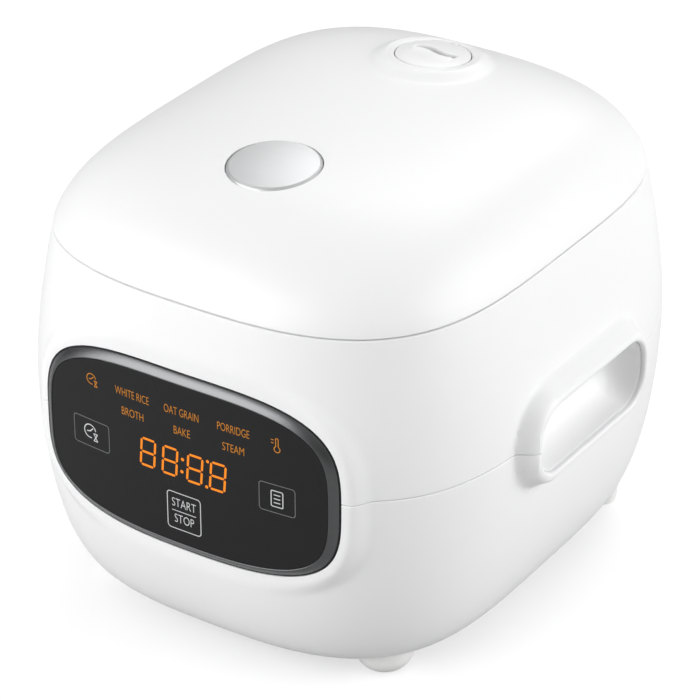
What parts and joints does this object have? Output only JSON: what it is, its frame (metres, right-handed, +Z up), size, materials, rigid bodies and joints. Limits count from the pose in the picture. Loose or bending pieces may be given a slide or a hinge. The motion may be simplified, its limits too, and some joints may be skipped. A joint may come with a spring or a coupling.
{
  "type": "countertop multi cooker",
  "caption": "Compact countertop multi cooker with a domed hinged lid, push-button catch, lift-off steam vent, removable pot, digital touch panel and recessed side grips.",
  "frame": {"origin": "centre of the body's widest outline, on the table plane under the feet", "axes": "+X towards the user's right as they face the panel, +Y towards the hinge at the back, +Z up"},
  "size_m": [0.239, 0.2593, 0.2123],
  "materials": {
    "white_shell": "satin white moulding",
    "white_inner": "matt off-white moulding",
    "grip_plastic": "matt white moulding",
    "foot_rubber": "soft pale rubber",
    "steel": "zinc-plated steel",
    "cast_alloy": "cast aluminium",
    "pot_coating": "non-stick coated aluminium pot",
    "panel_metal": "bevelled silver frame",
    "panel_glass": "smoked glossy window",
    "board": "green fibreglass board",
    "display": "light-emitting display",
    "black_plastic": "black heat-resistant moulding",
    "brass": "plated contact",
    "wire": "heat-resistant insulation",
    "ceramic": "glazed sleeve",
    "silicone": "food-grade silicone",
    "button_silver": "satin silver"
  },
  "bodies": {
    "base": {"lower_shell": "white_shell", "upper_shell": "white_shell", "rim_deck": "white_inner", "grip_cup_left": "grip_plastic", "grip_cup_right": "grip_plastic", "foot_front_left": "foot_rubber", "foot_front_right": "foot_rubber", "foot_rear_left": "foot_rubber", "foot_rear_right": "foot_rubber", "base_screws": "steel", "steel_liner": "steel", "liner_posts": "white_inner", "heating_plate": "cast_alloy", "heating_tube": "steel", "thermal_fuse": "ceramic", "inner_pot": "pot_coating", "panel_bezel": "panel_metal", "panel_glass": "panel_glass", "panel_carrier": "black_plastic", "control_board": "board", "display_module": "display", "touch_springs": "brass", "power_board": "board", "board_posts": "white_inner", "transformer": "black_plastic", "relay": "black_plastic", "filter_capacitor": "black_plastic", "mains_inlet": "black_plastic", "inlet_pins": "brass", "mains_leads": "wire", "heater_leads": "wire", "panel_cable": "wire", "hinge_bracket": "white_inner", "hinge_pin": "steel", "hinge_springs": "steel", "latch_catch": "steel", "sensor_spring": "steel"},
    "lid": {"lid_shell": "white_shell", "lid_liner": "white_inner", "inner_lid": "cast_alloy", "lid_gasket": "silicone", "hinge_arms": "white_inner", "lid_screws": "steel", "vent_seat": "white_inner", "vent_grommet": "silicone", "button_guide": "white_inner", "button_spring": "steel", "latch_pin": "steel", "latch_spring": "steel"},
    "vent": {"vent_cap": "white_shell", "vent_cap_base": "white_inner"},
    "button": {"button_cap": "button_silver"},
    "latch": {"latch_lever": "white_inner"},
    "sensor": {"sensor_cup": "cast_alloy"}
  },
  "joints": [
    {"name": "lid_hinge", "type": "hinge", "parent": "base", "child": "lid", "pos_m": [0, 0.1235, 0.158], "axis": [-1, 0, 0], "range_deg": [0, 85]},
    {"name": "button_press", "type": "slide", "parent": "lid", "child": "button", "axis": [0, 0.0847, -0.9964], "range_m": [0, 0.0034], "stiffness_N_per_m": 400, "springref_m": -0.003, "deforming": ["button_spring"]},
    {"name": "latch_turn", "type": "hinge", "parent": "lid", "child": "latch", "pos_m": [0, -0.1074, 0.181], "axis": [-1, 0, 0], "range_deg": [0, 4.18]},
    {"name": "vent_lift", "type": "slide", "parent": "lid", "child": "vent", "axis": [0, 0.0764, 0.9971], "range_m": [0, 0.035]},
    {"name": "sensor_press", "type": "slide", "parent": "base", "child": "sensor", "axis": [0, 0, -1], "range_m": [0, 0.003], "stiffness_N_per_m": 400, "springref_m": -0.003, "deforming": ["sensor_spring"]}
  ],
  "couplings": [
    {"joint": "latch_turn", "follows": "button_press", "rad_per_m": 20.921}
  ]
}
